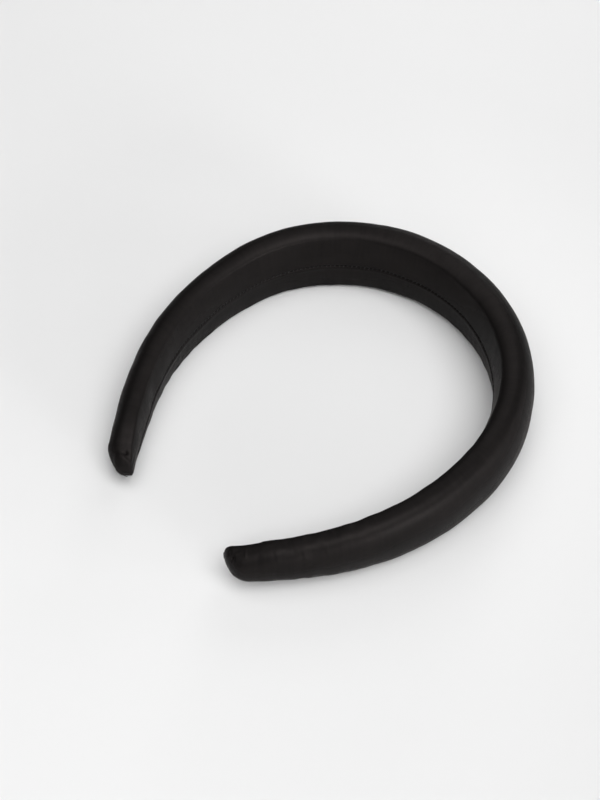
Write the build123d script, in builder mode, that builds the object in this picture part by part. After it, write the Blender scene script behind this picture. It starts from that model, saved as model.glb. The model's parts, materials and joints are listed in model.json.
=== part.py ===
"""Padded headband lying on its side: a springy core inside a foam pad inside a sewn satin cover.

The band lies with its opening towards -Y and its crown, the middle of the band, towards +Y.
+Z is up, and the origin is on the surface it lies on, under the middle of the object's box.
Each half is drawn once, on the +X side, from the crown's middle to its tip, and then mirrored.
"""

import os
from math import cos, radians, sin, sqrt

from build123d import *

os.makedirs("parts", exist_ok=True)

# ---- driving dimensions, in millimetres and degrees ----

# The inner face follows three tangent arcs from the crown's middle to each tip: radius and turn.
CROWN_ARC = (62.0, 82.0)
SIDE_ARC = (100.5, 34.5)
TIP_ARC = (138.0, 18.7)

# The band's section, at the crown and at the tip.
CROWN_THICKNESS, TIP_THICKNESS = 17.0, 9.4
CROWN_WIDTH, TIP_WIDTH = 33.0, 14.8
CROWN_FACE_WIDTH, TIP_FACE_WIDTH = 28.8, 13.6  # the inner face
WIDEST_AT = 0.38  # share of the thickness, from the inner face
SHOULDER = sqrt(0.5) ** 0.85  # how full the rounded outer side is at its shoulders
THINNING = 1.4  # exponents: how late along the band it thins and narrows
NARROWING = 2.9

# The cover is folded shut over the last stretch, which shrinks by this share.
CLOSING_LENGTH = 9.0
CLOSING_SHARE = 0.42

COVER_THICKNESS = 0.6
CORE_DEPTH = 1.8  # from the inner face to the core
CORE_THICKNESS = 1.8
CORE_MARGIN = 2.4  # from the inner face's edge to the core's edge
CORE_STOPS = 7.0  # short of the tip
PAD_STOPS = 5.0
SEAM_STOPS = 10.0

SEAM_WIDTH, SEAM_DEPTH = 0.7, 0.35
STITCH_COUNT, STITCH_PITCH = 3, 1.9
STITCH_LENGTH, STITCH_WIDTH = 2.8, 0.6
STITCH_DEPTH, STITCH_PROUD = 0.8, 0.15

# The rounded underside rests where the band balances, so the whole band leans by this much.
LEAN = 1.7

STATION_COUNT = 11  # sections along a half, apart from those over its closed end
CLOSING_STATIONS = (0.35, 0.7, 1.0)  # shares of the closing length
TRIM = 1.0  # how far a loft runs past the inner face before it is trimmed back


def arc_length(arc):
    radius, turn = arc
    return radius * radians(turn)


HALF_LENGTH = sum(arc_length(arc) for arc in (CROWN_ARC, SIDE_ARC, TIP_ARC))


# ---- the band's section at a distance along the inner face from the crown's middle ----


def between(crown_value, tip_value, along, exponent):
    return tip_value + (crown_value - tip_value) * (1 - (along / HALF_LENGTH) ** exponent)


def closing(along):
    """The share of its full section that the band keeps: 1, and less over the closed end."""
    into_end = max(0.0, along - HALF_LENGTH + CLOSING_LENGTH) / CLOSING_LENGTH
    return 1 - CLOSING_SHARE * into_end**2


def half_width(along):
    return between(CROWN_WIDTH, TIP_WIDTH, along, NARROWING) * closing(along) / 2


def half_face_width(along):
    return between(CROWN_FACE_WIDTH, TIP_FACE_WIDTH, along, NARROWING) * closing(along) / 2


def thickness(along):
    return between(CROWN_THICKNESS, TIP_THICKNESS, along, THINNING) * closing(along)


def stations(end):
    """Distances along the inner face at which a half is drawn, from the crown's middle to end."""
    start_of_closing = HALF_LENGTH - CLOSING_LENGTH
    even = [start_of_closing * step / (STATION_COUNT - 1) for step in range(STATION_COUNT)]
    closed = [start_of_closing + CLOSING_LENGTH * share for share in CLOSING_STATIONS]
    return [along for along in even + closed if along < end - TRIM] + [end]


# ---- where things go: the band's plane leans, and each section's plane stands across it ----


def leaning_plane(forward, up):
    lean = radians(LEAN)
    return Plane((0, forward, up), x_dir=(1, 0, 0), z_dir=(0, -sin(lean), cos(lean)))


def inner_arcs(depth=0.0, end=HALF_LENGTH):
    """The inner face's arcs, moved outward by depth, as lines for a BuildLine. The last stops at end."""
    crown = JernArc((0, depth), (1, 0), CROWN_ARC[0] + depth, -CROWN_ARC[1])
    side = JernArc(crown @ 1, crown % 1, SIDE_ARC[0] + depth, -SIDE_ARC[1])
    last_turn = TIP_ARC[1] * (1 - (HALF_LENGTH - end) / arc_length(TIP_ARC))
    tip = JernArc(side @ 1, side % 1, TIP_ARC[0] + depth, -last_turn)
    return crown, side, tip


def across(plane, along):
    """The plane of the band's section at a distance along: local X points outward, local Y across the width."""
    with BuildLine(plane) as line:
        inner_arcs()
    inner_line = line.wire()
    place = inner_line.position_at(along, PositionMode.LENGTH)
    direction = inner_line.tangent_at(along, PositionMode.LENGTH)
    return Plane(place, x_dir=plane.z_dir.cross(direction), z_dir=direction)


# ---- the band's outer shape, and the same shape pulled in for what is inside ----


def half_band(plane, inset=0.0, end=HALF_LENGTH):
    """The +X half of the band, pulled in by inset all round, up to end."""
    with BuildPart() as half:
        for along in stations(end):
            thick = thickness(along) - inset
            wide = half_width(along) - inset
            face = half_face_width(along) - inset
            widest = WIDEST_AT * thickness(along)
            shoulder = widest + (thick - widest) * SHOULDER
            with BuildSketch(across(plane, along)):
                with BuildLine():
                    Spline(
                        (-TRIM, -face),
                        (widest, -wide),
                        (shoulder, -wide * SHOULDER),
                        (thick, 0),
                        (shoulder, wide * SHOULDER),
                        (widest, wide),
                        (-TRIM, face),
                    )
                    Line((-TRIM, face), (-TRIM, -face))
                make_face()
        loft()
        # the inner face is the outside of the head shape that it fits round
        with BuildSketch(plane):
            with BuildLine():
                first, _, last = inner_arcs(inset, HALF_LENGTH + CLOSING_LENGTH)
                Polyline(last @ 1, (0, -HALF_LENGTH), first @ 0)
            make_face()
        extrude(amount=CROWN_WIDTH, both=True, mode=Mode.SUBTRACT)
    return half.part


LOOSE_BOX = half_band(leaning_plane(0, 0)).bounding_box()
BAND = leaning_plane(-LOOSE_BOX.center().Y, -LOOSE_BOX.min.Z)


# ---- the pieces of the +X half ----

# The springy core, a flat strip of plastic that narrows towards the tip.
with BuildPart() as core_right:
    for station in stations(HALF_LENGTH - CORE_STOPS):
        with BuildSketch(across(BAND, station)):
            with Locations((CORE_DEPTH + CORE_THICKNESS / 2, 0)):
                Rectangle(CORE_THICKNESS, 2 * (half_face_width(station) - CORE_MARGIN))
    loft()

# The foam pad, wrapped round the core.
with BuildPart() as foam_pad_right:
    add(half_band(BAND, COVER_THICKNESS, HALF_LENGTH - PAD_STOPS))
    add(core_right.part, mode=Mode.SUBTRACT)

# The thread of the seam that closes the cover along the middle of the inner face.
with BuildPart() as seam_thread_right:
    with BuildSketch(BAND):
        with BuildLine():
            face_line = inner_arcs(0.0, HALF_LENGTH - SEAM_STOPS)
            deep_line = inner_arcs(SEAM_DEPTH, HALF_LENGTH - SEAM_STOPS)
            Line(face_line[0] @ 0, deep_line[0] @ 0)
            Line(face_line[-1] @ 1, deep_line[-1] @ 1)
        make_face()
    extrude(amount=SEAM_WIDTH / 2, both=True)

# Hand stitches that hold the folded end shut, as a group of short threads.
with BuildPart() as tip_stitch_right:
    with BuildSketch(across(BAND, HALF_LENGTH).offset(STITCH_PROUD)):
        with Locations((thickness(HALF_LENGTH) / 2, 0)):
            with GridLocations(0, STITCH_PITCH, 1, STITCH_COUNT):
                SlotOverall(STITCH_LENGTH, STITCH_WIDTH)
    extrude(amount=-(STITCH_DEPTH + STITCH_PROUD))

# The satin cover, from the core's pad out to the surface, with its end folded shut.
with BuildPart() as cover_right:
    add(half_band(BAND))
    add(half_band(BAND, COVER_THICKNESS, HALF_LENGTH - PAD_STOPS), mode=Mode.SUBTRACT)
    add(seam_thread_right.part, mode=Mode.SUBTRACT)
    add(tip_stitch_right.part, mode=Mode.SUBTRACT)


# ---- both halves, written out ----

RIGHT_HALF = {
    "core": core_right,
    "foam_pad": foam_pad_right,
    "cover": cover_right,
    "seam_thread": seam_thread_right,
    "tip_stitch": tip_stitch_right,
}

for name, right in RIGHT_HALF.items():
    with BuildPart() as left:
        add(right.part)
        mirror(about=Plane.YZ, mode=Mode.REPLACE)
    for side, piece in (("right", right), ("left", left)):
        piece.part.label = f"{name}_{side}"
        export_step(piece.part, f"parts/{name}_{side}.step")

crown_arc_centre = BAND.from_local_coords((0, -CROWN_ARC[0]))
crown_top = BAND.from_local_coords((0, CROWN_THICKNESS))
print("crown arc's centre", crown_arc_centre)
print("outermost point of the crown", crown_top)
print("across the band", BAND.z_dir)
print("tip to tip along the inner face", round(2 * HALF_LENGTH, 1))
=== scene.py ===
"""Looks of a padded satin headband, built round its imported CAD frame.

The band is shaped as a straight tube first: every point has a distance along the inner face from
the crown's middle, and a place in the band's section, outward (p) and across the width (q). The
tube is then bent along the inner face's line. Lengths are in millimetres until a mesh is made.
"""

import json
from math import cos, pi, radians, sin, sqrt

import bpy
import numpy as np
from mathutils import Matrix, Vector


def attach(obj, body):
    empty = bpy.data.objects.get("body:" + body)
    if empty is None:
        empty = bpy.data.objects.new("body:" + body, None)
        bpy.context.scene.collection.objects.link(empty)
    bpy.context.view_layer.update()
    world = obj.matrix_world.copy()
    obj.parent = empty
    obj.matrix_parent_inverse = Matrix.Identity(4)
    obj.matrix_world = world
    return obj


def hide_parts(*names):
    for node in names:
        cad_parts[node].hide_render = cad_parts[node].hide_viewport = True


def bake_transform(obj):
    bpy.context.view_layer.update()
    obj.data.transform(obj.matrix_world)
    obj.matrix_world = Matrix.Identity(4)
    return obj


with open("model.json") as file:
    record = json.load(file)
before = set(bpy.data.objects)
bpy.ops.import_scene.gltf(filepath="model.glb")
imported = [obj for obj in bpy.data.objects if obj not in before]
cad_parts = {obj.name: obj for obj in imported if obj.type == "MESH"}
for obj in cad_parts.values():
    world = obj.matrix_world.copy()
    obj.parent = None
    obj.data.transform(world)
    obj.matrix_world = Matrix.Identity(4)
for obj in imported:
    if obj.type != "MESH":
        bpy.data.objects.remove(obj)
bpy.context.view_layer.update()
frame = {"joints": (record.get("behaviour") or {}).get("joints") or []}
scene = bpy.context.scene

# ---- the band's own frame: X across, forward to the crown, and normal across its width ----

CROWN_THICKNESS = 17.0  # of the CAD solid, whose hinge is on its outermost point
hinge = frame["joints"][0]
normal = Vector(hinge["axis"]).normalized()
forward = normal.cross(Vector((1, 0, 0)))
origin = Vector(hinge["pos_m"]) - forward * CROWN_THICKNESS / 1000
band_axes = Matrix((Vector((1, 0, 0)), forward, normal)).transposed()
AXES = np.array(band_axes)
ORIGIN = np.array(origin)


def to_row(points):
    """Points in the band's frame, in mm, as points in the row frame, in metres."""
    return ORIGIN + np.asarray(points) @ AXES.T / 1000


# ---- camera ----

CAMERA_TURN, CAMERA_TILT, CAMERA_ROLL = -43.50, 53.57, -2.19
CAMERA_DISTANCE, CAMERA_LENS, SENSOR = 787.5, 87.08, 36.0
CAMERA_AIM = Vector((0, -55, 0))
CAMERA_SHIFT = (-0.0658, -0.0322)

to_view = (
    Matrix.Rotation(radians(CAMERA_ROLL), 3, "Z")
    @ Matrix.Rotation(radians(CAMERA_TILT - 90), 3, "X")
    @ Matrix.Rotation(radians(CAMERA_TURN), 3, "Z")
)
eye = CAMERA_AIM + to_view[2] * CAMERA_DISTANCE
camera_data = bpy.data.cameras.new("camera")
camera_data.lens = CAMERA_LENS
camera_data.sensor_width = SENSOR
camera_data.shift_x, camera_data.shift_y = CAMERA_SHIFT
camera = bpy.data.objects.new("camera", camera_data)
scene.collection.objects.link(camera)
camera.matrix_world = Matrix.Translation(to_row(eye)) @ (band_axes @ to_view.transposed()).to_4x4()
scene.camera = camera

# ---- the straight tube's section ----

INNER_ARCS = ((62.0, 82.0), (100.5, 34.5), (138.0, 18.7))  # radius and turn, crown to tip
HALF = sum(radius * radians(turn) for radius, turn in INNER_ARCS)
SIZE = 1.004  # the cloth's stretch over the inner line

THICK = (17.86, 11.34, 1.107)  # at the crown, at the tip, and how late it changes
FACE = (28.6, 15.6, 3.155)
WIDE = (34.1, 16.0, 3.155)
HOLLOW = (1.88, 1.03, 3.0)  # how far the inner face's edges stand out from its middle
CROWN_DIP, CROWN_DIP_REACH = 1.6, 0.15  # in width, and the share of the half that it spreads over
LEAST_BULGE = 0.05  # of the sides past the inner face's edges
WIDEST_AT = 0.388
FULLNESS = 0.95

# over the ends the tube narrows, is bevelled on its outer side and has its corners rounded off,
# given for the +X and the -X arm
NARROWED, NARROWED_OVER = (0.205, 0.551), 22.0
BEVELLED, BEVELLED_OVER, BEVEL_TURN = (0.70, 0.50), 10.0, (2.6, 1.4)
CORNERED, CORNERED_OVER = (0.48, 0.20), 3.5
ROUNDED_OVER, ROUNDED_TO = 1.3, (0.42, 0.42)


def law(values, share):
    crown, tip, exponent = values
    return tip + (crown - tip) * (1 - share**exponent)


def into_end(along, over):
    """0 up to this far from the tip, and from there evenly up to 1 at the tip."""
    return np.clip((np.abs(along) - HALF + over) / over, 0, 1)


def smooth_step(share):
    share = np.clip(share, 0, 1)
    return share * share * (3 - 2 * share)


def by_arm(values, along):
    return np.where(along >= 0, values[0], values[1])


def raw_section(along, count=120):
    """Closed section outlines at these distances: arrays p, q and the arc length to the ridge."""
    share = np.clip(np.abs(along) / HALF, 0, 1)[:, None]
    narrow = 1 - by_arm(NARROWED, along) * into_end(along, NARROWED_OVER) ** 2
    narrow = (narrow * (1 - by_arm(CORNERED, along) * into_end(along, CORNERED_OVER) ** 2))[:, None]
    bevel = into_end(along, BEVELLED_OVER) ** by_arm(BEVEL_TURN, along)
    bevel = (1 - by_arm(BEVELLED, along) * bevel)[:, None]
    thick = law(THICK, share) * bevel
    hollow = law(HOLLOW, share) * bevel
    face = law(FACE, share) * narrow / 2
    dip = CROWN_DIP * np.exp(-((share / CROWN_DIP_REACH) ** 2))
    wide = np.maximum((law(WIDE, share) - dip) * narrow / 2, face + LEAST_BULGE)
    widest = hollow + (thick - hollow) * WIDEST_AT

    step = np.linspace(0, 1, count)[None, :]
    turn = step * pi / 2
    face_p, face_q = hollow * step**2, face * step
    side_p = hollow + (widest - hollow) * (1 - np.cos(turn))
    side_q = face + (wide - face) * np.sin(turn)
    dome_p = widest + (thick - widest) * np.sin(turn) ** FULLNESS
    dome_q = wide * np.clip(np.cos(turn), 0, 1) ** FULLNESS
    p = np.concatenate([face_p, side_p[:, 1:], dome_p[:, 1:]], 1)
    q = np.concatenate([face_q, side_q[:, 1:], dome_q[:, 1:]], 1)
    ridge = np.hypot(np.diff(face_p), np.diff(face_q)).sum(1)
    p = np.concatenate([p, p[:, -2:0:-1]], 1)
    q = np.concatenate([q, -q[:, -2:0:-1]], 1)
    return p, q, ridge


def blurred(values, spread, spacing):
    """Closed curves, one per row, smoothed by a Gaussian of this spread, in the spacing's unit."""
    count = values.shape[1]
    wave = np.fft.rfftfreq(count)[None, :] / spacing[:, None]
    kept = np.exp(-2 * (pi * spread * wave) ** 2)
    return np.fft.irfft(np.fft.rfft(values, axis=1) * kept, count, axis=1)


RING = 512  # points on a section while it is smoothed
EDGE_SOFTNESS = 0.34


def sections(along, columns):
    """The smoothed section at each distance along, at columns of the cloth.

    columns is a function of the distances along and of the arc lengths to the ridge and half way
    round. It gives signed arc lengths from the face's middle, up to the far side. What returns is
    p, q, the outward normal in the section and those arc lengths, each with one row per distance,
    and then the arc lengths to the ridge.
    """
    p, q, ridge = raw_section(along)
    p, q = np.concatenate([p, p[:, :1]], 1), np.concatenate([q, q[:, :1]], 1)
    length = np.concatenate([np.zeros((len(p), 1)), np.hypot(np.diff(p), np.diff(q)).cumsum(1)], 1)
    total = length[:, -1]
    even = np.arange(RING) / RING
    rows = range(len(p))
    p = np.array([np.interp(even * total[i], length[i], p[i]) for i in rows])
    q = np.array([np.interp(even * total[i], length[i], q[i]) for i in rows])
    p, q = blurred(p, EDGE_SOFTNESS, total / RING), blurred(q, EDGE_SOFTNESS, total / RING)

    around = columns(along, ridge, total / 2)
    turns = around / total[:, None] % 1 * RING
    low = np.floor(turns).astype(int)
    part = turns - low

    def at(values, shift=0):
        row = np.arange(len(p))[:, None]
        first = values[row, (low + shift) % RING]
        return first + (values[row, (low + shift + 1) % RING] - first) * part

    dp, dq = at(p, 2) - at(p, -2), at(q, 2) - at(q, -2)
    size = np.hypot(dp, dq)
    return at(p), at(q), -dq / size, dp / size, around, ridge


# ---- bending the straight tube round the head ----

TWIST_ABOUT = 4.0
TWIST = (-0.138, -0.024)  # radians at the tip of the +X and the -X arm
DROOP = (1.20, -1.85)  # mm at the tip, along the band's normal
TIP_BEND_OVER = 30.0  # the tips bend a little more by themselves: outward and along the normal
TIP_OUT, TIP_UP = (0.60, 1.45), (-1.05, -0.24)
SWAY, SWAY_AT, SWAY_REACH = (0.0, -0.42), 30.0, 20.0  # mm outward, at a distance from the tip


def inner_line(along):
    """Place (x, y) and heading of the inner face's line at these distances."""
    reach = np.abs(along)
    x, y, heading = (np.zeros_like(reach) for _ in range(3))
    start, at_x, at_y, turned = 0.0, 0.0, 0.0, 0.0
    for index, (radius, turn) in enumerate(INNER_ARCS):
        span = radius * radians(turn)
        last = index == len(INNER_ARCS) - 1
        here = (reach >= start) & ((reach < start + span) | last)
        angle = turned + (reach - start) / radius
        x = np.where(here, at_x + radius * (np.sin(angle) - sin(turned)), x)
        y = np.where(here, at_y + radius * (np.cos(angle) - cos(turned)), y)
        heading = np.where(here, angle, heading)
        end = turned + radians(turn)
        at_x += radius * (sin(end) - sin(turned))
        at_y += radius * (cos(end) - cos(turned))
        start, turned = start + span, end
    return np.sign(along) * x, y, heading


def bent(along, p, q):
    """Points of the straight tube, placed along the inner line, in the band's frame."""
    along = along[:, None]
    side = np.where(along >= 0, 1, -1)
    late = (along / HALF) ** 2
    twist = by_arm(TWIST, along) * late
    tip = into_end(along, TIP_BEND_OVER) ** 2
    out = TWIST_ABOUT + (p - TWIST_ABOUT) * np.cos(twist) - q * np.sin(twist)
    out = out + by_arm(TIP_OUT, along) * tip
    out = out + by_arm(SWAY, along) * bump(HALF - np.abs(along), SWAY_AT, SWAY_REACH)
    across = (p - TWIST_ABOUT) * np.sin(twist) + q * np.cos(twist)
    across = across + by_arm(DROOP, along) * late + by_arm(TIP_UP, along) * tip
    x, y, heading = inner_line(along)
    points = np.stack([x + out * np.sin(heading) * side, y + out * np.cos(heading), across], -1)
    return points * SIZE


SETTLE = 1.0  # how close to the floor the cloth starts to flatten


def settled(points):
    """Row-frame points in metres, with whatever would sink into the floor pressed flat on it."""
    soft = SETTLE / 1000
    height = points[..., 2]
    low = soft * np.exp(np.minimum(height - soft, 0) / soft)
    points = points.copy()
    points[..., 2] = np.where(height < soft, low, height)
    return points


def wave(places, height, lengths, seed, count=28):
    """Smooth random relief of about this height, from a count of sines of about these lengths."""
    random = np.random.default_rng(seed)
    relief = np.zeros(places[0].shape)
    for _ in range(count):
        phase = random.uniform(0, 2 * pi)
        for place, length in zip(places, lengths):
            phase = phase + 2 * pi * place / length * random.normal(0, 1)
        relief += np.sin(phase)
    return height * (relief / sqrt(count / 2))


def bump(value, centre, reach):
    return np.exp(-(((value - centre) / reach) ** 2))


# ---- meshes from grids ----


def ring_faces(rows, columns, first=0):
    """Quads between consecutive closed rings, as vertex numbers."""
    row, column = np.meshgrid(np.arange(rows - 1), np.arange(columns), indexing="ij")
    after = (column + 1) % columns
    corners = [row * columns + column, (row + 1) * columns + column]
    corners += [(row + 1) * columns + after, row * columns + after]
    return np.stack(corners, -1).reshape(-1, 4) + first


def make_piece(name, points, faces, material):
    mesh = bpy.data.meshes.new(name)
    mesh.from_pydata(np.asarray(points).reshape(-1, 3).tolist(), [], [list(map(int, f)) for f in faces])
    mesh.update()
    mesh.shade_smooth()
    piece = bpy.data.objects.new(name, mesh)
    scene.collection.objects.link(piece)
    if material:
        mesh.materials.append(material)
    return piece


def closed_ends(grid, rings=4):
    """A grid of rings with both ends closed: extra rings that shrink to a point at each end."""
    first, last = grid[0], grid[-1]
    shares = (1 - (np.arange(1, rings + 1) / (rings + 0.5)))[:, None, None]
    head = first.mean(0) + (first - first.mean(0)) * shares[::-1]
    tail = last.mean(0) + (last - last.mean(0)) * shares
    return np.concatenate([head, grid, tail])


def fan_faces(rows, columns):
    """Triangles from each end ring's points to a middle point added after the grid."""
    column = np.arange(columns)
    after = (column + 1) % columns
    start, end = rows * columns, rows * columns + 1
    last = (rows - 1) * columns
    head = np.stack([np.full(columns, start), column, after], -1)
    tail = np.stack([np.full(columns, end), last + after, last + column], -1)
    return np.concatenate([head, tail])


# ---- the satin cover ----

STATION_SPACING, TIP_SPACING = 0.48, 0.20
FINE_TIP = 11.0  # this far from each tip the cover's stations stand closer together
SEAM_OFFSETS = (0.0, 0.22, 0.45, 0.7, 1.0, 1.4, 1.9, 2.6)
FACE_COLUMNS, DOME_COLUMNS = 12, 33
FACE_CROWDING, DOME_CROWDING = 1.25, 1.12  # exponents: how much columns crowd to the ridge

STITCH_PITCH = 1.8
SEAM_END = 10.0  # how far short of the tip the seam stops
SEAM_WAVE = (0.25, (45,), 11, 9)
SEAM_DRIFT, DRIFT_FROM, DRIFT_OVER = -3.2, 42.0, 20.0  # the seam runs aside towards the -X tip


def seam_wander(s):
    """How far the seam strays from the middle of the inner face."""
    aside = smooth_step((s + HALF - DRIFT_FROM) / -DRIFT_OVER)
    return wave((s,), *SEAM_WAVE) + SEAM_DRIFT * aside


def fine_columns(along, ridge, far):
    """Columns of the cover: close together at the seam and at the ridges."""
    near = np.array(SEAM_OFFSETS)[None, :] * np.ones((len(ridge), 1))
    rest = 1 - (1 - np.linspace(0, 1, FACE_COLUMNS + 1)[None, 1:]) ** FACE_CROWDING
    face = SEAM_OFFSETS[-1] + (ridge[:, None] - SEAM_OFFSETS[-1]) * rest
    dome = np.linspace(0, 1, DOME_COLUMNS + 1)[None, 1:] ** DOME_CROWDING
    side = ridge[:, None] + (far[:, None] - ridge[:, None]) * dome
    upper = np.concatenate([near, face, side], 1)
    around = np.concatenate([upper, -upper[:, -2:0:-1]], 1)
    return around + seam_wander(along)[:, None] * np.clip(1 - (around / ridge[:, None]) ** 2, 0, 1)


# Folds and dents of the wrapped ends, on the upper side of the +X arm (1) and the -X arm (-1).
# Each has a distance from the tip and past the ridge, its reach each way, and a height.
PITS = (
    (1, 2.1, 3.3, 0.45, 0.85, -1.20),
    (1, 3.5, 5.0, 0.60, 0.90, -1.30),
    (1, 3.3, 6.5, 0.50, 0.80, -0.50),
    (1, 8.0, 4.2, 0.45, 1.5, 0.18),
    (1, 22.9, 7.5, 2.4, 2.2, -0.28),
    (1, 37.7, 4.8, 1.6, 1.6, -0.16),
    (-1, 5.1, 2.2, 0.65, 0.75, -0.70),
)
# Narrow creases across the arm: distance from the tip, middle and reach past the ridge, and depth.
CREASES = (
    (1, 18.0, 7.0, 2.6, 0.12),
    (1, 27.6, 8.6, 3.2, 0.13),
    (1, 28.7, 7.2, 1.6, 0.07),
    (1, 35.7, 9.8, 2.8, 0.10),
)
CREASE_LEAN, CREASE_REACH = 0.12, 0.42
CREASE_LIP, LIP_BESIDE, LIP_REACH = 0.7, 0.9, 0.55  # the raised side, as a share of the depth
# The hem's edge is this far from the tip, at the ridge and past the slant.
HEM_EDGE, HEM_SLANT_OVER = (3.2, 6.0), 4.8
HEM_SLOPE, HEM_HEIGHT, HEM_FADES = 1.9, 0.60, 3.0
HEM_STARTS, HEM_STARTS_OVER, HEM_STOPS, HEM_STOPS_OVER = -0.4, 1.2, 8.6, 2.4  # past the ridge
# The folded-in end of the +X arm stops here, along its ridge.
STEP_AT, STEP_SLOPE, STEP_HEIGHT, STEP_FADES, STEP_REACH = 14.2, 0.9, 0.22, 9, (0.2, 2.4)


def tip_folds(s, past_ridge):
    """Relief of the folded ends. past_ridge is the distance past the upper ridge, outward."""
    arm = np.where(s >= 0, 1, -1)
    to_tip = HALF - np.abs(s)
    height = np.zeros(s.shape)
    for side, at, past, reach, reach_past, high in PITS:
        height += (arm == side) * high * bump(to_tip, at, reach) * bump(past_ridge, past, reach_past)
    for side, at, past, reach_past, deep in CREASES:
        lean = at + CREASE_LEAN * (past_ridge - past)
        lip = CREASE_LIP * bump(to_tip, lean + LIP_BESIDE, LIP_REACH)
        crease = bump(to_tip, lean, CREASE_REACH) - lip
        height -= (arm == side) * deep * crease * bump(past_ridge, past, reach_past)

    # a hem over the -X end: its edge runs slantwise from the ridge and steps down towards the crown
    slant = (HEM_EDGE[1] - HEM_EDGE[0]) * smooth_step(past_ridge / HEM_SLANT_OVER)
    over = HEM_EDGE[0] + slant - to_tip
    starts = np.clip((past_ridge - HEM_STARTS) / HEM_STARTS_OVER, 0, 1)
    stops = np.clip((HEM_STOPS - past_ridge) / HEM_STOPS_OVER, 0, 1)
    fades = np.exp(-np.clip(over - HEM_SLOPE, 0, None) / HEM_FADES)
    height += (arm < 0) * starts * stops * HEM_HEIGHT * smooth_step(over / HEM_SLOPE) * fades

    fades = np.exp(-np.clip(to_tip - STEP_AT, 0, None) / STEP_FADES)
    step = smooth_step((to_tip - STEP_AT) / STEP_SLOPE + 0.5) * fades
    height += (arm > 0) * STEP_HEIGHT * step * bump(past_ridge, *STEP_REACH)
    return height


# The satin's relief. A wave has a height, its lengths, a seed and sometimes a count of sines, and
# runs over the places s, q and p where no others are named.
SLACK_WAVE = (0.07, (52, 34, 34), 3)
SOFT_WAVE, SOFT_MORE, SOFT_MORE_AT = (0.02, (15, 30, 30), 5), 2.5, (30, 32)
SEAM_STARTS_OVER = 2.0
GROOVE_DEPTH, GROOVE_REACH = 0.42, 0.40
TURNED_IN_EDGES = ((0.17, -1.3, 1.1), (0.03, 1.2, 0.9))  # height, middle and reach past the seam
PULL_DEPTH, PULL_REACH, PULL_WAVE = 0.24, 0.85, (0.4, (6,), 17, 9)  # over s
PUCKER_HEIGHT, PUCKER_REACH, PUCKER_WAVE = 0.014, 2.6, (1.5, (14,), 19, 9)  # over s, in radians
RIDGE_WAVE, RIDGE_REACH = (0.07, (17,), 23, 13), 1.3  # over s
GATHER_WAVE, GATHER_REACH, GATHER_STARTS_OVER = (0.06, (2.6, 2.6, 30), 29), 9, 3  # over q, p, s
CREASE_WAVE, CREASED, CREASED_AT = (0.022, (4.2, 24, 24), 31), (1.0, 0.4), (38, 20)
CREASE_STARTS_OVER = 4  # past the ridge
FACE_WAVE, FACE_WAVE_STARTS_OVER = (0.010, (6.5, 20, 20), 37), 3
LOWER_SIDE = -1e3  # stands for the distance past the upper ridge where its folds don't reach


def relief(along, p, q, around, ridge):
    """How far the satin stands out from its smooth shape, along the section's normal."""
    s = along[:, None] * np.ones_like(p)
    to_tip = HALF - np.abs(s)
    ridge = ridge[:, None]
    reach = np.abs(around)
    places = (s, q, p)

    # slack: low soft undulations, a little more of them towards the tips
    height = wave(places, *SLACK_WAVE)
    height += wave(places, *SOFT_WAVE) * (1 + SOFT_MORE * bump(to_tip, *SOFT_MORE_AT))

    # the folded edges meet in a groove, the lower one a little proud, pulled in at each stitch
    seamed = np.clip((to_tip - SEAM_END) / SEAM_STARTS_OVER, 0, 1)
    from_seam = around - seam_wander(s)
    height -= GROOVE_DEPTH * seamed * bump(from_seam, 0, GROOVE_REACH)
    for edge_height, middle, edge_reach in TURNED_IN_EDGES:
        height += edge_height * seamed * bump(from_seam, middle, edge_reach)
    beat = 2 * pi * s / STITCH_PITCH
    pull = (1 + wave((s,), *PULL_WAVE)) * (0.5 + 0.5 * np.cos(beat)) ** 2
    height -= PULL_DEPTH * seamed * pull * bump(from_seam, 0, PULL_REACH)
    pucker = np.sin(beat / 2 + wave((s,), *PUCKER_WAVE))
    height += PUCKER_HEIGHT * seamed * pucker * bump(from_seam, 0, PUCKER_REACH)

    # the core's edge shows as a slightly uneven ridge
    height += wave((s,), *RIDGE_WAVE) * bump(reach, ridge, RIDGE_REACH)

    # cloth pulled round the tips: lengthwise gathers, crosswise creases further up each arm, and
    # faint ones on the inner face
    gathered = bump(to_tip, 0, GATHER_REACH) * np.clip(to_tip / GATHER_STARTS_OVER, 0, 1)
    height += wave((q, p, s), *GATHER_WAVE) * gathered
    creased = by_arm(CREASED, s) * bump(to_tip, *CREASED_AT)
    height += wave(places, *CREASE_WAVE) * creased * np.clip((reach - ridge) / CREASE_STARTS_OVER, 0, 1)
    face = [np.clip(gap / FACE_WAVE_STARTS_OVER, 0, 1) for gap in (ridge - reach, reach)]
    height += wave(places, *FACE_WAVE) * face[0] * face[1]
    return height + tip_folds(s, np.where(around >= 0, around - ridge, LOWER_SIDE))


def cover_grid(along, columns):
    """The cover on the straight tube, with its relief, and with its blunt ends rounded off."""
    p, q, out_p, out_q, around, ridge = sections(along, columns)
    height = relief(along, p, q, around, ridge)
    p, q = p + out_p * height, q + out_q * height
    rounded = into_end(along, ROUNDED_OVER)[:, None]
    least = by_arm(ROUNDED_TO, along)[:, None]
    share = 1 - (1 - least) * (1 - np.sqrt(np.clip(1 - rounded**2, 0, 1)))
    middle = p.mean(1, keepdims=True)
    return middle + (p - middle) * share, q * share, around, ridge


def even_stations(spacing, end=HALF):
    return np.linspace(-end, end, int(round(2 * end / spacing)) + 1)


# ---- the satin settles on the pad: a cloth simulation on a coarse copy of the cover ----

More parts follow.
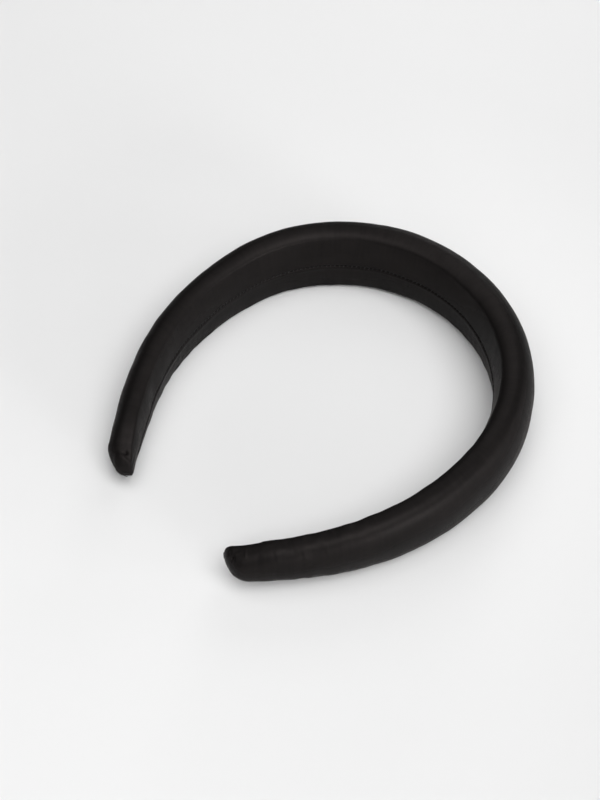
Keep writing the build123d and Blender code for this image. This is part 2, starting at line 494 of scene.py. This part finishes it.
CLOTH_SPACING = 2 * HALF / round(2 * HALF / 1.8)  # about 1.8 mm, evenly over the whole length
CLOTH_FACE, CLOTH_DOME = 8, 18  # columns from the seam to the ridge, and on to the far side
CLOTH_SCALE = 0.01  # metres for each mm: simulated ten times its size, where the solver is steady
CLOTH_FRAMES = 20
CLOTH_SETTINGS = {
    "quality": 6,
    "mass": 0.3,
    "tension_stiffness": 15,
    "compression_stiffness": 15,
    "shear_stiffness": 5,
    "bending_stiffness": 0.5,
    "use_pressure": True,
    "uniform_pressure_force": 4.0,
    "shrink_min": -0.03,  # 3% slack
}
KEPT_BELOW = 5.0  # stations: only folds finer than this are kept, so the shape stays as drawn
FOLD_CAP = 0.30  # their limit in mm
FOLDS_KEPT = 0.07  # the share kept
FOLDS_MORE, FOLDS_MORE_AT = 0.30, (HALF - 30, 22)  # and how much more of it by the +X tip
FOLDS_ON_FACE = 0.25  # how much of them the taut inner face and its edges show
TINY = 1e-9


def cloth_columns(along, ridge, far):
    face = ridge[:, None] * np.linspace(0, 1, CLOTH_FACE + 1)[None, :]
    side = np.linspace(0, 1, CLOTH_DOME + 1)[None, 1:]
    upper = np.concatenate([face, ridge[:, None] + (far - ridge)[:, None] * side], 1)
    return np.concatenate([upper, -upper[:, -2:0:-1]], 1)


def smooth_lengthwise(values, spread):
    """Values smoothed from row to row by a Gaussian of this spread, in rows."""
    reach = int(3 * spread)
    kernel = np.exp(-0.5 * (np.arange(-reach, reach + 1) / spread) ** 2)
    padded = np.concatenate([values[:1]] * reach + [values] + [values[-1:]] * reach)
    return sum(k * padded[i : i + len(values)] for i, k in enumerate(kernel / kernel.sum()))


def simulated_folds():
    """Fine folds that the pad's pressure leaves in slack satin, as offsets in mm on the coarse grid."""
    along = even_stations(CLOTH_SPACING)
    p, q, *_ = sections(along, cloth_columns)
    rest = bent(along, p, q)
    rows, columns = p.shape
    last = (rows - 1) * columns
    faces = [*ring_faces(rows, columns), range(columns)[::-1], range(last, last + columns)]
    cloth = make_piece("cloth", rest * CLOTH_SCALE, faces, None)
    seam = [row * columns for row in range(rows)]
    ridges = [row * columns + c for row in range(rows) for c in (CLOTH_FACE, columns - CLOTH_FACE)]
    ends = [*range(2 * columns), *range(last - columns, last + columns)]
    held = cloth.vertex_groups.new(name="held")
    for vertices, hold in ((seam, 1.0), (ridges, 0.5), (ends, 1.0)):
        held.add(vertices, hold, "REPLACE")
    settings = cloth.modifiers.new("cloth", "CLOTH").settings
    for key, value in CLOTH_SETTINGS.items():
        setattr(settings, key, value)
    settings.effector_weights.gravity = 0
    settings.vertex_group_mass = held.name
    for number in range(1, CLOTH_FRAMES + 1):
        scene.frame_set(number)
    settled_mesh = cloth.evaluated_get(bpy.context.evaluated_depsgraph_get()).data
    moved = np.zeros(rest.size)
    settled_mesh.vertices.foreach_get("co", moved)
    offset = moved.reshape(rest.shape) / CLOTH_SCALE - rest
    bpy.data.objects.remove(cloth)
    scene.frame_set(1)
    kept = FOLDS_KEPT + FOLDS_MORE * bump(along, *FOLDS_MORE_AT)
    on_dome = np.abs(columns / 2 - np.arange(columns)) < CLOTH_DOME - 1
    gain = kept[:, None] * np.where(on_dome, 1, FOLDS_ON_FACE)
    folds = gain[..., None] * (offset - smooth_lengthwise(offset, KEPT_BELOW))
    size = np.linalg.norm(folds, axis=-1, keepdims=True) + TINY
    return folds * FOLD_CAP * np.tanh(size / FOLD_CAP) / size


def between_samples(values, index, wrap):
    """Smooth values at fractional indices along the first axis."""
    count = len(values)
    low = np.floor(index).astype(int)
    t = (index - low).reshape((-1,) + (1,) * (values.ndim - 1))
    weights = (
        -0.5 * t + t**2 - 0.5 * t**3,
        1 - 2.5 * t**2 + 1.5 * t**3,
        0.5 * t + 2 * t**2 - 1.5 * t**3,
        -0.5 * t**2 + 0.5 * t**3,
    )
    total = 0
    for step, weight in zip((-1, 0, 1, 2), weights):
        near = (low + step) % count if wrap else np.clip(low + step, 0, count - 1)
        total = total + weight * values[near]
    return total


def folds_on(along, around, ridge, far):
    """The simulated folds at the cover's own stations and columns."""
    coarse = between_samples(simulated_folds(), (along + HALF) / CLOTH_SPACING, False)
    reach, ridge, far = np.abs(around), ridge[:, None], far[:, None]
    dome = CLOTH_FACE + CLOTH_DOME * (reach - ridge) / (far - ridge)
    column = np.where(reach <= ridge, CLOTH_FACE * reach / ridge, dome)
    column = np.where(around < 0, 2 * (CLOTH_FACE + CLOTH_DOME) - column, column)
    return np.stack([between_samples(row, at, True) for row, at in zip(coarse, column)])


def cover_stations():
    fine = np.arange(HALF, HALF - FINE_TIP, -TIP_SPACING)
    middle = even_stations(STATION_SPACING, fine[-1] - STATION_SPACING)
    return np.concatenate([-fine, middle, fine[::-1]])


along = cover_stations()
p, q, around, ridge = cover_grid(along, fine_columns)
cover_mm = bent(along, p, q)
cover_mm = cover_mm + folds_on(along, around, ridge, around.max(1))
cover_points = settled(to_row(cover_mm))

# ---- materials ----


class Shading:
    """A material's nodes, added one at a time and linked by name."""

    def __init__(self, name):
        self.material = bpy.data.materials.new(name)
        self.material.use_nodes = True
        self.tree = self.material.node_tree
        self.shader = self.tree.nodes["Principled BSDF"]

    def add(self, kind, inputs=(), **settings):
        node = self.tree.nodes.new("ShaderNode" + kind)
        for key, value in settings.items():
            setattr(node, key, value)
        for key, value in dict(inputs).items():
            self.set(node.inputs[key], value)
        return node

    def set(self, socket, value):
        if isinstance(value, bpy.types.NodeSocket):
            self.tree.links.new(value, socket)
        else:
            socket.default_value = value

    def place(self, attribute, scale):
        """Coordinates from a vertex attribute, so that a pattern follows the cloth or the thread."""
        source = self.add("Attribute", attribute_name=attribute)
        return self.add("Mapping", {"Vector": source.outputs["Vector"], "Scale": scale}).outputs[0]

    def noise(self, attribute, scale, detail=2.0, roughness=0.5):
        place = self.place(attribute, scale)
        inputs = {"Vector": place, "Scale": 1.0, "Detail": detail, "Roughness": roughness}
        return self.add("TexNoise", inputs).outputs["Fac"]

    def fit(self, value, low, high, start=0.3, end=0.7):
        """The value's stretch from start to end, fitted between low and high."""
        inputs = {"Value": value, "From Min": start, "From Max": end, "To Min": low, "To Max": high}
        return self.add("MapRange", inputs).outputs["Result"]

    def blend(self, amount, first, second):
        node = self.add("Mix", data_type="RGBA")
        self.set(node.inputs["Factor"], amount)
        for socket, colour in zip((node.inputs[6], node.inputs[7]), (first, second)):
            self.set(socket, colour)
        return node.outputs[2]

    def raise_by(self, height, depth, under=None, strength=1.0):
        """A normal raised by a height pattern that is this many mm deep, over another normal."""
        inputs = {"Height": height, "Distance": depth / 1000, "Strength": strength}
        if under is not None:
            inputs["Normal"] = under
        return self.add("Bump", inputs).outputs["Normal"]

    def finish(self, **sockets):
        for name, value in sockets.items():
            self.set(self.shader.inputs[name.replace("_", " ")], value)
        return self.material


SATIN_DARK, SATIN_LIGHT = (0.0107, 0.0098, 0.0097, 1), (0.0143, 0.0129, 0.0127, 1)
SATIN_SLUB, SLUB_SHARE = (0.0205, 0.0178, 0.0172, 1), 0.3
SATIN_ROUGHNESS = (0.41, 0.47)
# the metallic share and the dark tint keep the sheen low where the cloth is seen edge on
SATIN_METALLIC, SATIN_SPECULAR, SATIN_TINT = 0.5, 0.12, (0.30, 0.25, 0.24, 1)
WEAVE_DEPTH, WEAVE_STRENGTH = 0.03, 0.2

satin = Shading("satin_cloth")
# slubs and faint creases run across the band, along the weft; the sheen drifts over longer lengths
slubs = satin.noise("cloth_mm", (1.1, 0.055, 0.055), 3.0, 0.6)
drift = satin.noise("cloth_mm", (0.045, 0.09, 0.09))
shine = satin.noise("cloth_mm", (0.5, 0.12, 0.12))
# the long floats of a satin weave, set apart from row to row
flat = satin.add("UVMap", uv_map="cloth")
floats = satin.add(
    "TexBrick",
    {
        "Vector": flat.outputs["UV"],
        "Scale": 1.0,
        "Brick Width": 1.3,
        "Row Height": 0.20,
        "Mortar Size": 0.022,
        "Mortar Smooth": 1.0,
        "Color1": (1, 1, 1, 1),
        "Color2": (0.72, 0.72, 0.72, 1),
        "Mortar": (0, 0, 0, 1),
    },
    offset=0.4,
).outputs["Color"]
tone = satin.blend(satin.fit(drift, 0, 1), SATIN_DARK, SATIN_LIGHT)
tone = satin.blend(satin.fit(slubs, 0, SLUB_SHARE), tone, SATIN_SLUB)
under = satin.raise_by(floats, WEAVE_DEPTH, strength=WEAVE_STRENGTH)
under = satin.raise_by(slubs, WEAVE_DEPTH, under, WEAVE_STRENGTH)
satin_material = satin.finish(
    Base_Color=tone,
    Roughness=satin.fit(shine, *SATIN_ROUGHNESS),
    Metallic=SATIN_METALLIC,
    Specular_IOR_Level=SATIN_SPECULAR,
    Specular_Tint=SATIN_TINT,
    Normal=under,
)

FOAM_DARK, FOAM_LIGHT = (0.58, 0.56, 0.52, 1), (0.66, 0.64, 0.60, 1)

foam = Shading("foam_cells")
cell_place = foam.place("cloth_mm", (2.2, 2.2, 2.2))
cells = foam.add("TexVoronoi", {"Vector": cell_place, "Scale": 1.0}).outputs["Distance"]
clumps = foam.noise("cloth_mm", (0.25, 0.25, 0.25), 3.0)
foam_material = foam.finish(
    Base_Color=foam.blend(foam.fit(clumps, 0, 1), FOAM_DARK, FOAM_LIGHT),
    Roughness=foam.fit(cells, 0.8, 0.98, 0, 0.6),
    Normal=foam.raise_by(cells, 0.35),
)

PLASTIC_DARK, PLASTIC_LIGHT = (0.018, 0.018, 0.019, 1), (0.026, 0.026, 0.027, 1)

plastic = Shading("moulded_core")
texture = plastic.noise("cloth_mm", (3.0, 3.0, 3.0))
flow = plastic.noise("cloth_mm", (0.02, 0.5, 0.5))
plastic_material = plastic.finish(
    Base_Color=plastic.blend(plastic.fit(flow, 0, 1), PLASTIC_DARK, PLASTIC_LIGHT),
    Roughness=plastic.fit(texture, 0.34, 0.5),
    Normal=plastic.raise_by(texture, 0.03),
)

THREAD_DARK, THREAD_LIGHT = (0.006, 0.006, 0.0065, 1), (0.016, 0.015, 0.015, 1)

thread = Shading("twisted_thread")
turns = {"Vector": thread.place("twist", (1.0, 0.0, 0.0)), "Scale": 1.0, "Distortion": 0.0}
plies = thread.add("TexWave", turns, bands_direction="X").outputs["Fac"]
fuzz = thread.noise("twist", (9.0, 9.0, 9.0))
thread_material = thread.finish(
    Base_Color=thread.blend(plies, THREAD_DARK, THREAD_LIGHT),
    Roughness=thread.fit(fuzz, 0.5, 0.75),
    Normal=thread.raise_by(plies, 0.05),
)


# ---- pieces ----


def keep_places(piece, name, places):
    """Stores a place for each vertex, which the material's patterns follow."""
    layer = piece.data.attributes.new(name, "FLOAT_VECTOR", "POINT")
    layer.data.foreach_set("vector", np.asarray(places, np.float32).ravel())


def with_middles(grid):
    """A grid's points in a row, followed by the middle of its first and of its last ring."""
    return np.concatenate([grid.reshape(-1, 3), grid[0].mean(0)[None], grid[-1].mean(0)[None]])


def tube(name, grid, along, p, q, material):
    """A closed piece from rings of points, which keep their places on the straight tube."""
    places = np.stack([along[:, None] * np.ones_like(p), q, p], -1)
    shape, marks = closed_ends(grid), closed_ends(places)
    rows, columns = shape.shape[:2]
    faces = [*ring_faces(rows, columns), *fan_faces(rows, columns)]
    piece = make_piece(name, with_middles(shape), faces, material)
    keep_places(piece, "cloth_mm", with_middles(marks))
    return piece


cover = tube("cover", cover_points, along, p, q, satin_material)


def lay_flat(piece, along, around):
    """A UV map of the cloth as it lay before it was wrapped: millimetres along and round."""
    rows, columns = around.shape
    whole = 2 * around.max(1, keepdims=True)
    turn = around + whole * (np.arange(columns) > columns // 2)
    turn = np.concatenate([turn, turn[:, :1] + whole], 1)
    mesh = piece.data
    extra = (len(mesh.vertices) - 2) // columns - rows
    row = np.clip(np.arange(rows + extra) - extra // 2, 0, rows - 1)
    corner = np.zeros(len(mesh.loops), np.int64)
    mesh.loops.foreach_get("vertex_index", corner)
    start, size = np.zeros((2, len(mesh.polygons)), np.int64)
    mesh.polygons.foreach_get("loop_start", start)
    mesh.polygons.foreach_get("loop_total", size)
    ring, column = np.minimum(corner // columns, rows + extra - 1), corner % columns
    spread = np.maximum.reduceat(column, start) - np.minimum.reduceat(column, start)
    wrapped = np.repeat((spread > 1) & (size == 4), size) & (column == 0)
    u, v = along[row[ring]], turn[row[ring], np.where(wrapped, columns, column)]
    layer = mesh.uv_layers.new(name="cloth")
    layer.data.foreach_set("uv", np.stack([u, v], -1).astype(np.float32).ravel())


lay_flat(cover, along, around)

# the foam pad and the core that the cloth hides, on a coarser grid
PAD_SPACING, PAD_INSET, PAD_STOPS = 1.5, 0.75, 5.0
PAD_SEAM_DIP, SEAM_DIP_REACH = 0.45, 2.6  # extra room for the seam's turned-in edges
PAD_WAVE = (0.06, (9, 9, 9), 41)
CORE_STOPS, CORE_DEPTH, CORE_THICKNESS, CORE_MARGIN = 7.0, 1.8, 1.8, 2.4
CORE_ROUND = 4  # points on a quarter of the core's rounded edge

pad_along = even_stations(PAD_SPACING, HALF - PAD_STOPS)
pad_p, pad_q, out_p, out_q, pad_around, _ = sections(pad_along, cloth_columns)
uneven = wave((pad_along[:, None] * np.ones_like(pad_p), pad_q, pad_p), *PAD_WAVE)
from_seam = pad_around - seam_wander(pad_along)[:, None]
inset = PAD_INSET + PAD_SEAM_DIP * bump(from_seam, 0, SEAM_DIP_REACH) - uneven
pad_p, pad_q = pad_p - out_p * inset, pad_q - out_q * inset
pad_points = settled(to_row(bent(pad_along, pad_p, pad_q)))
foam_pad = tube("foam_pad", pad_points, pad_along, pad_p, pad_q, foam_material)

core_along = even_stations(PAD_SPACING, HALF - CORE_STOPS)
narrow = 1 - by_arm(NARROWED, core_along) * into_end(core_along, NARROWED_OVER) ** 2
core_half = law(FACE, np.abs(core_along) / HALF) * narrow / 2 - CORE_MARGIN
edge = np.linspace(0, pi / 2, CORE_ROUND)
round_p = CORE_THICKNESS / 2 * np.concatenate([-np.cos(edge), np.sin(edge)[1:]])
round_q = CORE_THICKNESS / 2 * (np.concatenate([np.sin(edge), np.cos(edge)[1:]]) - 1)
core_p = np.concatenate([round_p, round_p[::-1]])[None, :] + CORE_DEPTH + CORE_THICKNESS / 2
core_p = core_p * np.ones((len(core_along), 1))
core_q = core_half[:, None] + round_q[None, :]
core_q = np.concatenate([core_q, -core_q[:, ::-1]], 1)
core_points = to_row(bent(core_along, core_p, core_q))
core = tube("core", core_points, core_along, core_p, core_q, plastic_material)

# ---- thread ----

THREAD_RADIUS = 0.13
THREAD_SIDES, THREAD_POINTS = 6, 7
THREAD_BLUNTNESS, THREAD_LEAST = 6, 0.05  # how late its ends round off, and the least they keep
PLY_LENGTH = 0.55
SINKING = 4  # exponent: how late a stitch sinks into the cloth towards its ends

order = np.argsort(around, axis=1)
sorted_around = np.take_along_axis(around, order, 1)
sorted_points = np.take_along_axis(cover_points, order[..., None], 1)


def on_cover(at, past):
    """The cover's point, in row-frame metres, at a distance along and a signed arc from the seam."""
    index = min(np.interp(at, along, np.arange(len(along))), len(along) - 1.001)
    low = int(index)
    pair = [
        np.array([np.interp(past, sorted_around[row], sorted_points[row][:, axis]) for axis in range(3)])
        for row in (low, low + 1)
    ]
    return pair[0] + (pair[1] - pair[0]) * (index - low)


def thread_rings(path, out):
    """Rings of a short thread's tube about a path, with its ends rounded off, and their twist."""
    path = np.asarray(path)
    heading = np.gradient(path, axis=0)
    heading /= np.linalg.norm(heading, axis=1, keepdims=True)
    side = np.cross(heading, out)
    side /= np.linalg.norm(side, axis=1, keepdims=True)
    up = np.cross(side, heading)
    angle = np.arange(THREAD_SIDES) * 2 * pi / THREAD_SIDES
    share = np.linspace(-1, 1, len(path))
    size = THREAD_RADIUS / 1000 * np.sqrt(np.clip(1 - share**THREAD_BLUNTNESS, THREAD_LEAST, 1))
    turn = angle[None, :, None]
    ring = np.cos(turn) * side[:, None, :] + np.sin(turn) * up[:, None, :]
    length = np.concatenate([[0], np.linalg.norm(np.diff(path, axis=0), axis=1).cumsum()]) * 1000
    twist = length[:, None] / PLY_LENGTH + angle[None, :] / (2 * pi)
    return path[:, None, :] + ring * size[:, None, None], np.stack([twist, twist * 0, twist * 0], -1)


def stitches(name, threads):
    """One piece of many separate short threads."""
    points, places, faces = [], [], []
    for path, out in threads:
        rings, twist = thread_rings(path, out)
        first = sum(map(len, points))
        faces.extend(ring_faces(len(rings), THREAD_SIDES, first))
        faces.extend(f + first for f in fan_faces(len(rings), THREAD_SIDES))
        points.append(with_middles(rings))
        places.append(with_middles(twist))
    piece = make_piece(name, np.concatenate(points), faces, thread_material)
    keep_places(piece, "twist", np.concatenate(places))
    return piece


# A seam stitch: half its reach across the seam and half its lean along it, each with how much it
# varies, how far its middle stands out, and how much deeper its ends lie.
STITCH_REACH, STITCH_LEAN = (0.52, 0.08), (0.30, 0.07)
STITCH_LIFT, STITCH_SINK = 0.10, 0.24
STITCH_VARIES = 0.08  # along the seam
SLOPE_AHEAD, SLOPE_ASIDE = 0.5, 1.5  # how far off the cloth's slope is measured


def seam_stitch(at, random):
    """A slanted stitch over the seam's groove, sunk into the cloth at both ends."""
    reach, lean = (usual + varies * random.normal() for usual, varies in (STITCH_REACH, STITCH_LEAN))
    share = np.linspace(-1, 1, THREAD_POINTS)
    wander = seam_wander(np.array([at]))[0]
    start, end = (on_cover(at + lean * t, wander + reach * t) for t in (-1, 1))
    ahead = on_cover(at + SLOPE_AHEAD, wander) - on_cover(at, wander)
    across = on_cover(at, wander + SLOPE_ASIDE) - on_cover(at, wander - SLOPE_ASIDE)
    out = np.cross(across, ahead)
    out /= np.linalg.norm(out)
    line = start + (end - start) * ((share + 1) / 2)[:, None]
    lift = (STITCH_LIFT - STITCH_SINK * share**SINKING)[:, None] / 1000
    return line + out * lift, out


random = np.random.default_rng(53)
count = int((HALF - SEAM_END - 1) // STITCH_PITCH)
stitched_at = (np.arange(-count, count) + 0.5) * STITCH_PITCH
stitched_at += STITCH_VARIES * random.normal(size=2 * count)
seam_stitches = stitches("seam_stitches", [seam_stitch(at, random) for at in stitched_at])

TIP_STITCHES = (-1.45, -0.1, 1.3)  # across the width, on each blunt end
TIP_SLANT, TIP_OVERHANG = 0.25, 0.25  # how much it slants, and how far it passes the end's edges
TIP_LIFT, TIP_SINK = 0.16, 0.42  # how far its middle stands out, and how much deeper its ends lie
BESIDE_END = 5  # rings in from the end, where the arm's own line is measured


def tip_stitch(side, across, random):
    """A short thread over the folded end, from its inner to its outer side."""
    end = cover_mm[-1 if side > 0 else 0]
    middle = end.mean(0)
    ahead = middle - cover_mm[-1 - BESIDE_END if side > 0 else BESIDE_END].mean(0)
    ahead /= np.linalg.norm(ahead)
    out = end[len(end) // 2] - end[0]
    thick = np.linalg.norm(out)
    out /= thick
    width = np.cross(out, ahead)
    width *= np.sign(width[2])
    share = np.linspace(-1, 1, THREAD_POINTS)[:, None]
    slant = TIP_SLANT * random.normal()
    path = middle + width * (across + slant * share) + out * (0.5 * thick + TIP_OVERHANG) * share
    path = path + ahead * (TIP_LIFT - TIP_SINK * share**SINKING)
    return to_row(path), (AXES @ ahead)


tip_stitches = {
    side: stitches(f"tip_stitches_{word}", [tip_stitch(side, across, random) for across in TIP_STITCHES])
    for side, word in ((1, "right"), (-1, "left"))
}

# ---- how the pieces move and what they stand for ----

CROWN_RADIUS, CROWN_TURN = INNER_ARCS[0]
BOTH = ("left", "right")


def unrolled(points):
    """Row-frame points laid out along X by their angle round the middle of the crown's arc."""
    from_middle = (points - to_row((0, -CROWN_RADIUS, 0))) @ AXES
    straight = np.zeros_like(points)
    straight[:, 0] = np.arctan2(from_middle[:, 0], from_middle[:, 1]) * CROWN_RADIUS / 1000
    return straight


def bend_with_band(piece, node):
    """The piece is unrolled round the crown's arc and then put back as it was, and the CAD parts that
    it stands for are hidden."""
    mesh = piece.data
    shape = np.zeros(3 * len(mesh.vertices))
    mesh.vertices.foreach_get("co", shape)
    mesh.vertices.foreach_set("co", unrolled(shape.reshape(-1, 3)).ravel())
    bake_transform(piece)
    mesh.vertices.foreach_set("co", shape)
    mesh.update()
    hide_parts(*[f"{node}_{side}" for side in BOTH])


bend_with_band(cover, "cover")
bend_with_band(foam_pad, "foam_pad")
bend_with_band(core, "core")
bend_with_band(seam_stitches, "seam_thread")
for side, word in ((1, "right"), (-1, "left")):
    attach(tip_stitches[side], f"{word}_side")
    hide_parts(f"tip_stitch_{word}")

# ---- studio ----

FLOOR_HALF = 30.0
paper = Shading("studio_floor")
paper.finish(Base_Color=(0.83, 0.83, 0.83, 1), Roughness=0.8, Specular_IOR_Level=0.2)
corners = [(x * FLOOR_HALF, y * FLOOR_HALF, 0) for x, y in ((-1, -1), (1, -1), (1, 1), (-1, 1))]
floor = make_piece("floor", corners, [(0, 1, 2, 3)], paper.material)

# far, broad lights as (azimuth, elevation, strength): the low ones graze the band from the right
# and from behind, and the high ones light the floor
FAR_LIGHTS = (
    (0, 62, 0.110),
    (45, 62, 0.053),
    (60, 9, 0.121),
    (90, 9, 0.387),
    (90, 33, 0.037),
    (90, 62, 0.419),
    (120, 9, 0.158),
    (150, 9, 0.083),
    (210, 9, 0.142),
    (0, 88, 0.167),
)
LOW, LOW_SPREAD, SPREAD = 20, 18, 36  # degrees: lights below this elevation are narrower
# round softboxes as (azimuth, elevation, strength, distance, diameter, aim): three near the band,
# and a small one close to the +X arm
ABOUT_BAND, ABOUT_ARM = (0, 0, 0.015), (0.045, -0.055, 0.020)
SOFTBOXES = (
    (30, 42, 0.147, 0.5, 0.30, ABOUT_BAND),
    (210, 42, 0.102, 0.5, 0.30, ABOUT_BAND),
    (315, 66, 0.076, 0.5, 0.30, ABOUT_BAND),
    (200, 38, 0.068, 0.2, 0.10, ABOUT_ARM),
)


def place_light(name, kind, azimuth, elevation, away=1.0, aim=(0, 0, 0)):
    a, e = radians(azimuth), radians(elevation)
    toward = Vector((sin(a) * cos(e), -cos(a) * cos(e), sin(e)))
    lamp = bpy.data.objects.new(name, bpy.data.lights.new(name, kind))
    scene.collection.objects.link(lamp)
    lamp.rotation_mode = "QUATERNION"
    lamp.rotation_quaternion = toward.to_track_quat("Z", "Y")
    lamp.location = Vector(aim) + toward * away
    return lamp


for number, (azimuth, elevation, strength) in enumerate(FAR_LIGHTS):
    lamp = place_light(f"far_light_{number}", "SUN", azimuth, elevation)
    lamp.data.angle = radians(LOW_SPREAD if elevation < LOW else SPREAD)
    lamp.data.energy = strength * pi
for number, (azimuth, elevation, strength, away, size, aim) in enumerate(SOFTBOXES):
    lamp = place_light(f"softbox_{number}", "AREA", azimuth, elevation, away, aim)
    lamp.data.shape, lamp.data.size = "DISK", size
    lamp.data.energy = strength * (pi * away) ** 2
    lamp.visible_camera = False
world = bpy.data.worlds.new("studio")
world.use_nodes = True
world.node_tree.nodes["Background"].inputs["Color"].default_value = (0.0, 0.0, 0.0, 1)
scene.world = world
scene.view_settings.view_transform = "Standard"
